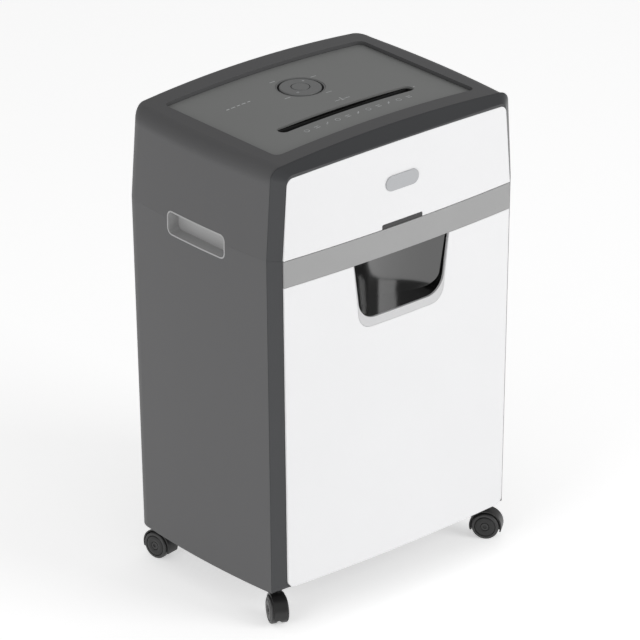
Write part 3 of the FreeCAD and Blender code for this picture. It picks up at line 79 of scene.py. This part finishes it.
def plastic(name, tone, rough, grain=0.00045, grain_depth=0.00002, variation=0.05, specular=0.5,
            coat=0.0, metallic=0.0, rough_spread=0.06, edge=0.0006):
    """Moulded plastic: fine spark texture, faint mottling and uneven gloss."""
    material = bpy.data.materials.new(name)
    material.use_nodes = True
    tree = material.node_tree
    tree.nodes.clear()
    output = tree.nodes.new("ShaderNodeOutputMaterial")
    shader = tree.nodes.new("ShaderNodeBsdfPrincipled")
    shader.inputs["Specular IOR Level"].default_value = specular
    shader.inputs["Metallic"].default_value = metallic
    shader.inputs["Coat Weight"].default_value = coat
    shader.inputs["Coat Roughness"].default_value = COAT_ROUGHNESS
    place = tree.nodes.new("ShaderNodeTexCoord")
    broad = add_node(tree, "ShaderNodeTexNoise", Scale=9.0, Detail=4.0, Roughness=0.6)
    speck = add_node(tree, "ShaderNodeTexNoise", Scale=0.55 / grain, Detail=2.0, Roughness=0.5)
    pebble = add_node(tree, "ShaderNodeTexVoronoi", Scale=0.8 / grain)
    for texture in (broad, speck, pebble):
        tree.links.new(place.outputs["Object"], texture.inputs["Vector"])
    blend = add_node(tree, "ShaderNodeMix", data_type="RGBA")
    low = tuple(c * (1 - variation) for c in tone[:3]) + (1.0,)
    high = tuple(min(1.0, c * (1 + variation)) for c in tone[:3]) + (1.0,)
    mix = add_node(tree, "ShaderNodeMath", operation="ADD")
    weight = add_node(tree, "ShaderNodeMath", operation="MULTIPLY")
    weight.inputs[1].default_value = SPECK_SHARE
    tree.links.new(speck.outputs["Fac"], weight.inputs[0])
    tree.links.new(broad.outputs["Fac"], mix.inputs[0])
    tree.links.new(weight.outputs[0], mix.inputs[1])
    span = add_node(tree, "ShaderNodeMapRange")
    span.inputs["From Min"].default_value = MOTTLE_START
    span.inputs["From Max"].default_value = 1.0
    tree.links.new(mix.outputs[0], span.inputs["Value"])
    tree.links.new(span.outputs["Result"], blend.inputs["Factor"])
    blend.inputs["A"].default_value = low
    blend.inputs["B"].default_value = high
    tree.links.new(blend.outputs["Result"], shader.inputs["Base Color"])
    gloss = add_node(tree, "ShaderNodeMapRange")
    gloss.inputs["To Min"].default_value = max(0.02, rough - rough_spread)
    gloss.inputs["To Max"].default_value = min(1.0, rough + rough_spread)
    tree.links.new(broad.outputs["Fac"], gloss.inputs["Value"])
    tree.links.new(gloss.outputs["Result"], shader.inputs["Roughness"])
    soft = add_node(tree, "ShaderNodeBevel", samples=4, Radius=edge)
    bump = add_node(tree, "ShaderNodeBump", Strength=0.5, Distance=grain_depth)
    tree.links.new(pebble.outputs["Distance"], bump.inputs["Height"])
    tree.links.new(soft.outputs["Normal"], bump.inputs["Normal"])
    tree.links.new(bump.outputs["Normal"], shader.inputs["Normal"])
    tree.links.new(shader.outputs["BSDF"], output.inputs["Surface"])
    return material


MATERIALS = {
    "body_dark": plastic("body_dark", colour(85, 85, 86), 0.50, grain_depth=0.00004),
    "bezel_dark": plastic("bezel_dark", colour(57, 58, 60), 0.40, edge=0.0012),
    "panel_grey": plastic("panel_grey", colour(132, 133, 132), 0.45),
    "panel_white": plastic("panel_white", colour(235, 235, 236), 0.30, grain_depth=0.000008,
                           variation=0.012),
    "strip_grey": plastic("strip_grey", colour(158, 158, 158), 0.38, grain_depth=0.00001),
    "lip_grey": plastic("lip_grey", colour(204, 204, 205), 0.30, grain_depth=0.00001, variation=0.02),
    "cup_grey": plastic("cup_grey", colour(172, 172, 172), 0.45),
    "gloss_black": plastic("gloss_black", colour(16, 16, 16), 0.14, grain_depth=0.000002, specular=1.0,
                           coat=1.0, rough_spread=0.03),
    "window_dark": plastic("window_dark", colour(20, 20, 21), 0.30, grain_depth=0.000002, coat=0.3,
                           rough_spread=0.03),
    "badge_metal": plastic("badge_metal", colour(170, 171, 173), 0.32, metallic=1.0, grain_depth=0.00001),
    "bin_dark": plastic("bin_dark", colour(66, 66, 67), 0.5),
    "throat_black": plastic("throat_black", colour(34, 34, 34), 0.5),
    "key_grey": plastic("key_grey", colour(116, 117, 117), 0.34, grain_depth=0.00001, edge=0.0009),
    "steel": plastic("steel", colour(165, 166, 168), 0.34, metallic=1.0, grain_depth=0.00001),
    "gear_nylon": plastic("gear_nylon", colour(214, 210, 196), 0.45),
    "board_green": plastic("board_green", colour(32, 78, 48), 0.35),
    "brass": plastic("brass", colour(190, 150, 86), 0.4, metallic=1.0),
    "castor_black": plastic("castor_black", colour(30, 30, 30), 0.34, grain_depth=0.00001),
    "wheel_black": plastic("wheel_black", colour(52, 52, 52), 0.42, grain_depth=0.00002),
    "mark_pale": plastic("mark_pale", colour(205, 207, 208), 0.5, grain_depth=0.000002),
}
slot_of = {entry["node"]: entry["material_slot"] for entry in frame["record"]["subparts"]}
for name, thing in nodes.items():
    thing.data.materials.clear()
    thing.data.materials.append(MATERIALS[slot_of[name]])

# ------------------------------------------------------------- surface finds
def tree_of(name):
    """Ray tree of a CAD node, in the shared frame."""
    mesh = nodes[name].data
    turn = nodes[name].matrix_world
    return BVHTree.FromPolygons([turn @ vertex.co for vertex in mesh.vertices],
                                [tuple(face.vertices) for face in mesh.polygons])


def add_piece(name, mesh, body, material):
    """A finished mesh as a piece that rides on a body."""
    piece = bpy.data.objects.new(name, mesh)
    scene.collection.objects.link(piece)
    piece.data.materials.append(MATERIALS[material])
    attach(piece, body)
    return piece


ON_AXIS = 1e-7


def lathe(name, profile, origin, axis, body, material, segments=40):
    """A turned piece: profile is (radius, distance along the axis), ends on the axis close it."""
    turn = Vector(axis).to_track_quat("Z", "Y").to_matrix()
    work = bmesh.new()
    rings = []
    for radius, height in profile:
        if radius < ON_AXIS:
            rings.append([work.verts.new(Vector(origin) + turn @ Vector((0, 0, height)))])
            continue
        ring = []
        for step in range(segments):
            angle = 2 * math.pi * step / segments
            spot = Vector((radius * math.cos(angle), radius * math.sin(angle), height))
            ring.append(work.verts.new(Vector(origin) + turn @ spot))
        rings.append(ring)
    closed = len(rings[0]) > 1 and len(rings[-1]) > 1
    pairs = list(zip(rings, rings[1:] + rings[:1])) if closed else list(zip(rings, rings[1:]))
    for low, high in pairs:
        for step in range(segments):
            after = (step + 1) % segments
            corners = [low[step % len(low)], low[after % len(low)],
                       high[after % len(high)], high[step % len(high)]]
            unique = list(dict.fromkeys(corners))
            if len(unique) > 2:
                work.faces.new(unique)
    bmesh.ops.recalc_face_normals(work, faces=work.faces)
    mesh = bpy.data.meshes.new(name)
    work.to_mesh(mesh)
    work.free()
    mesh.shade_smooth()
    return add_piece(name, mesh, body, material)


# ------------------------------------------------------ marks on the top panel
panel_tree = tree_of("top_panel")
ring_tree = tree_of("control_ring")
LIFT = 0.05 * MM
MARK_SKIN = 0.08 * MM
ABOVE_ALL = 1.0


def printed(name, shapes, tree, body):
    """Thin printed marks on an upward face; shapes are polygons in X and Y."""
    work = bmesh.new()
    for shape in shapes:
        corners = []
        for x, y in shape:
            spot = tree.ray_cast(Vector((x, y, ABOVE_ALL)), Vector((0, 0, -1)))[0]
            corners.append(work.verts.new(spot + Vector((0, 0, LIFT))))
        work.faces.new(corners)
    bmesh.ops.recalc_face_normals(work, faces=work.faces)
    mesh = bpy.data.meshes.new(name)
    work.to_mesh(mesh)
    work.free()
    piece = add_piece(name, mesh, body, "mark_pale")
    skin = piece.modifiers.new("skin", "SOLIDIFY")
    skin.thickness = MARK_SKIN
    skin.offset = 1
    return piece


def bar(x, y, length, width, turn=0.0):
    """A straight stroke about its middle."""
    along, across = Vector((math.cos(turn), math.sin(turn))), Vector((-math.sin(turn), math.cos(turn)))
    middle = Vector((x, y))
    return [tuple(middle + along * a * length / 2 + across * b * width / 2)
            for a, b in ((-1, -1), (1, -1), (1, 1), (-1, 1))]


def hoop(x, y, radius, width, segments=20, start=0.0, sweep=2 * math.pi):
    """A ring of strokes."""
    shapes = []
    for step in range(segments):
        a0 = start + sweep * step / segments
        a1 = start + sweep * (step + 1) / segments
        shapes.append([(x + r * math.cos(a), y + r * math.sin(a))
                       for r, a in ((radius - width, a0), (radius, a0), (radius, a1), (radius - width, a1))])
    return shapes


ring_low, ring_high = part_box("control_ring")
dial_x, dial_y = (ring_low[0] + ring_high[0]) / 2, (ring_low[1] + ring_high[1]) / 2
throat_low, throat_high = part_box("feed_throat")
slot_y = (throat_low[1] + throat_high[1]) / 2
THROAT_EDGE = 5 * MM
slot_end = throat_high[0] - THROAT_EDGE
MARK_AWAY = 23 * MM
STROKE = 1.2 * MM

# a row of plain shapes in front of the slot stands in for the printed pictograms
ROW_COUNT = 11
ROW_LENGTH = 168
row_marks = []
for index in range(ROW_COUNT):
    x = (-ROW_LENGTH / 2 + ROW_LENGTH * index / (ROW_COUNT - 1)) * MM
    y = slot_y - MARK_AWAY
    if index % 3 == 0:
        row_marks += hoop(x, y, 3.8 * MM, 1.0 * MM)
    elif index % 3 == 1:
        row_marks += [bar(x, y - 2 * MM, 7 * MM, STROKE), bar(x, y + 2 * MM, 7 * MM, STROKE)]
    else:
        row_marks += [bar(x, y, 8 * MM, STROKE, math.pi / 4), bar(x, y, 2 * STROKE, 2 * STROKE)]
printed("row_marks", row_marks, panel_tree, "housing")

# short dashes round the keys, a feed mark by the slot and a row of plain bars in place of words
KEY_MARK_REACH = 39 * MM
KEY_MARK_LENGTH = 9 * MM
key_marks = []
for turn in (25, 115, 205, 295):
    angle = math.radians(turn)
    key_marks.append(bar(dial_x + KEY_MARK_REACH * math.cos(angle), dial_y + KEY_MARK_REACH * math.sin(angle),
                         KEY_MARK_LENGTH, STROKE))
printed("key_marks", key_marks, panel_tree, "housing")

FEED_ARM = 8 * MM
feed_x, feed_y = 14 * MM, slot_y + MARK_AWAY
feed_marks = [bar(feed_x - FEED_ARM, feed_y, FEED_ARM, STROKE),
              bar(feed_x + FEED_ARM, feed_y, FEED_ARM, STROKE),
              bar(feed_x, feed_y + 3 * MM, 1.4 * MM, 6 * MM),
              bar(feed_x, feed_y - 1.5 * MM, 5 * MM, 1.4 * MM)]
printed("feed_marks", feed_marks, panel_tree, "housing")

NAME_START, NAME_PITCH, NAME_COUNT = -112, 8.5, 5
name_bars = [bar((NAME_START + NAME_PITCH * index) * MM, dial_y + 8 * MM, (6.4 if index % 2 else 4.8) * MM,
                 1.8 * MM)
             for index in range(NAME_COUNT)]
printed("name_bars", name_bars, panel_tree, "housing")

DOT_AWAY, DOT_RADIUS, DOT_SIDES = 3.2 * MM, 1.1 * MM, 12
dot_x = slot_end + DOT_AWAY
dot_turns = [2 * math.pi * side / DOT_SIDES for side in range(DOT_SIDES)]
slot_dot = [(dot_x + DOT_RADIUS * math.cos(turn), slot_y + DOT_RADIUS * math.sin(turn)) for turn in dot_turns]
printed("slot_dot", [slot_dot], panel_tree, "housing")

RING_MARK_REACH = 19.5 * MM


def ring_spot(turn):
    """A point on the key ring, at an angle in degrees."""
    angle = math.radians(turn)
    return dial_x + RING_MARK_REACH * math.cos(angle), dial_y + RING_MARK_REACH * math.sin(angle)


# a cross on one side of the ring and two bars on the other
cross_x, cross_y = ring_spot(40)
pair_x, pair_y = ring_spot(220)
ring_marks = [bar(cross_x, cross_y, 4 * MM, 0.9 * MM),
              bar(cross_x, cross_y, 0.9 * MM, 4 * MM),
              bar(pair_x, pair_y - 0.9 * MM, 4 * MM, 0.8 * MM),
              bar(pair_x, pair_y + 0.9 * MM, 4 * MM, 0.8 * MM)]
printed("ring_marks", ring_marks, ring_tree, "control_ring")

# ------------------------------------------------------------- castor hub caps
joints = {joint["name"]: joint for joint in frame["record"]["behaviour"]["joints"]}
WHEEL_FACE = 11.5 * MM
DISH_DEPTH = 1.5 * MM
CAP_PROFILE = [(5.4, 0.1), (13.5, 0.1), (13.5, 1.2), (12.2, 1.75), (9.5, 2.0), (6.4, 1.8), (5.4, 1.3)]
for corner in ("front_left", "front_right", "back_left", "back_right"):
    for side, sign in (("left", -1), ("right", 1)):
        joint = joints[f"{corner}_roll_{side}"]
        axis = Vector(joint["axis"]) * sign
        face = Vector(joint["pos_m"]) + axis * (WHEEL_FACE - DISH_DEPTH)
        profile = [(radius * MM, height * MM) for radius, height in CAP_PROFILE]
        lathe(f"hub_cap_{corner}_{side}", profile, face, axis, f"castor_{corner}_wheel_{side}",
              "castor_black")

# ---------------------------------------------------------------- rear screws
head_tree = tree_of("head_shell")
cabinet_tree = tree_of("cabinet_shell")
SCREW_PROFILE = [(0.0, 0.05), (3.4, 0.05), (3.4, 0.9), (2.9, 1.3), (1.4, 1.4), (1.4, 0.5), (0.0, 0.5)]
BEHIND_ALL = 0.5
SCREW_SEGMENTS = 24
REAR_SCREWS = [(head_tree, -150, 530), (head_tree, 150, 530), (head_tree, -150, 605), (head_tree, 150, 605),
               (cabinet_tree, -150, 490), (cabinet_tree, 150, 490), (cabinet_tree, -145, 75),
               (cabinet_tree, 145, 75)]
for index, (tree, x, z) in enumerate(REAR_SCREWS):
    hit, normal = tree.ray_cast(Vector((x * MM, BEHIND_ALL, z * MM)), Vector((0, -1, 0)))[:2]
    profile = [(radius * MM, height * MM) for radius, height in SCREW_PROFILE]
    lathe(f"rear_screw_{index}", profile, hit, normal, "housing", "steel", SCREW_SEGMENTS)

# ------------------------------------------------------------- camera, lights
camera_data = bpy.data.cameras.new("camera")
camera = bpy.data.objects.new("camera", camera_data)
scene.collection.objects.link(camera)
CAMERA_SPOT = (-3.785, -4.369, 3.0185)
CAMERA_LOOK = (0.5930, 0.6855, -0.4224)
camera.location = CAMERA_SPOT
camera.rotation_euler = Vector(CAMERA_LOOK).to_track_quat("-Z", "Y").to_euler()
camera_data.sensor_width = 36.0
camera_data.lens = 281.25
camera_data.clip_end = 50.0
scene.camera = camera
scene.view_settings.view_transform = "Standard"

WORLD_STRENGTH = 0.42
WHITE = (1.0, 1.0, 1.0, 1.0)
world = bpy.data.worlds.new("studio")
world.use_nodes = True
world.node_tree.nodes["Background"].inputs["Color"].default_value = WHITE
world.node_tree.nodes["Background"].inputs["Strength"].default_value = WORLD_STRENGTH
scene.world = world


LIGHT_AIM = Vector((0, 0, 0.35))
LIGHT_SIDE = 1.6


def area_light(name, spot, power):
    """A square soft light in watts, turned to the middle of the shredder."""
    data = bpy.data.lights.new(name, "AREA")
    data.shape = "RECTANGLE"
    data.size = data.size_y = LIGHT_SIDE
    data.energy = power
    light = bpy.data.objects.new(name, data)
    scene.collection.objects.link(light)
    light.location = spot
    light.rotation_euler = (LIGHT_AIM - Vector(spot)).to_track_quat("-Z", "Y").to_euler()


area_light("key", (1.3, -2.6, 1.5), 30)
area_light("left", (-3.0, -0.6, 1.2), 20)

FLOOR_HALF = 6
FLOOR_GLOW = 0.48
floor_mesh = bpy.data.meshes.new("floor")
floor_corners = [(FLOOR_HALF * x, FLOOR_HALF * y, 0) for x, y in ((-1, -1), (1, -1), (1, 1), (-1, 1))]
floor_mesh.from_pydata(floor_corners, [], [(0, 1, 2, 3)])
floor = bpy.data.objects.new("floor", floor_mesh)
scene.collection.objects.link(floor)
floor_paint = plastic("floor_paint", colour(250, 250, 250), 0.8, grain_depth=0.000002, variation=0.004)
floor_shader = next(node for node in floor_paint.node_tree.nodes if node.type == "BSDF_PRINCIPLED")
floor_shader.inputs["Emission Color"].default_value = WHITE
floor_shader.inputs["Emission Strength"].default_value = FLOOR_GLOW
floor.data.materials.append(floor_paint)
